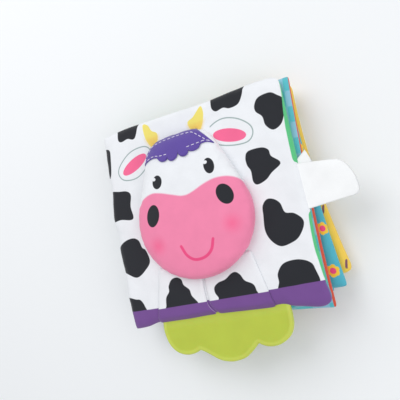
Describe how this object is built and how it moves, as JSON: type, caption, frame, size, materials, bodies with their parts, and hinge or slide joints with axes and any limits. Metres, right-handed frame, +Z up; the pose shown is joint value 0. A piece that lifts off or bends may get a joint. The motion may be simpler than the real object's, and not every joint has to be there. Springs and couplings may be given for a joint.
{
  "type": "teether soft book",
  "caption": "Closed cloth baby book with padded covers and leaves, a stuffed cow's head and leg flaps on the front, a lobed rubber teether below and a cloth tag on the open edge.",
  "frame": {"origin": "centre of the back cover's flat underside", "axes": "+X from the spine to the open edge, +Y to the top of the covers, +Z up through the leaves to the cow"},
  "size_m": [0.1905, 0.1963, 0.0509],
  "materials": {
    "hide_cloth": "smooth white polyester cloth with a printed black hide pattern",
    "back_cloth": "smooth white polyester cloth with a printed black hide pattern",
    "page_cloth": "smooth printed polyester cloth, teal, red and yellow",
    "head_cloth": "smooth printed polyester cloth, pink and white, stuffed",
    "hair_felt": "purple cloth with light top stitching",
    "leg_cloth": "smooth white polyester cloth with black patches and purple hooves",
    "teether_rubber": "satin lime green food-grade rubber",
    "label_cloth": "plain white woven tape"
  },
  "bodies": {
    "book_block": {"spine": "hide_cloth", "pages": "page_cloth"},
    "front_cover": {"front_cover": "hide_cloth", "head": "head_cloth", "hair": "hair_felt", "left_leg": "leg_cloth", "right_leg": "leg_cloth", "teether": "teether_rubber", "label": "label_cloth"},
    "back_cover": {"back_cover": "back_cloth"}
  },
  "joints": [
    {"name": "front_cover_fold", "type": "hinge", "parent": "book_block", "child": "front_cover", "pos_m": [-0.07425, 0, 0.03265], "axis": [0, -1, 0], "range_deg": [0, 180]},
    {"name": "back_cover_fold", "type": "hinge", "parent": "book_block", "child": "back_cover", "pos_m": [-0.07425, 0, 0.00325], "axis": [0, 1, 0], "range_deg": [0, 180]}
  ]
}
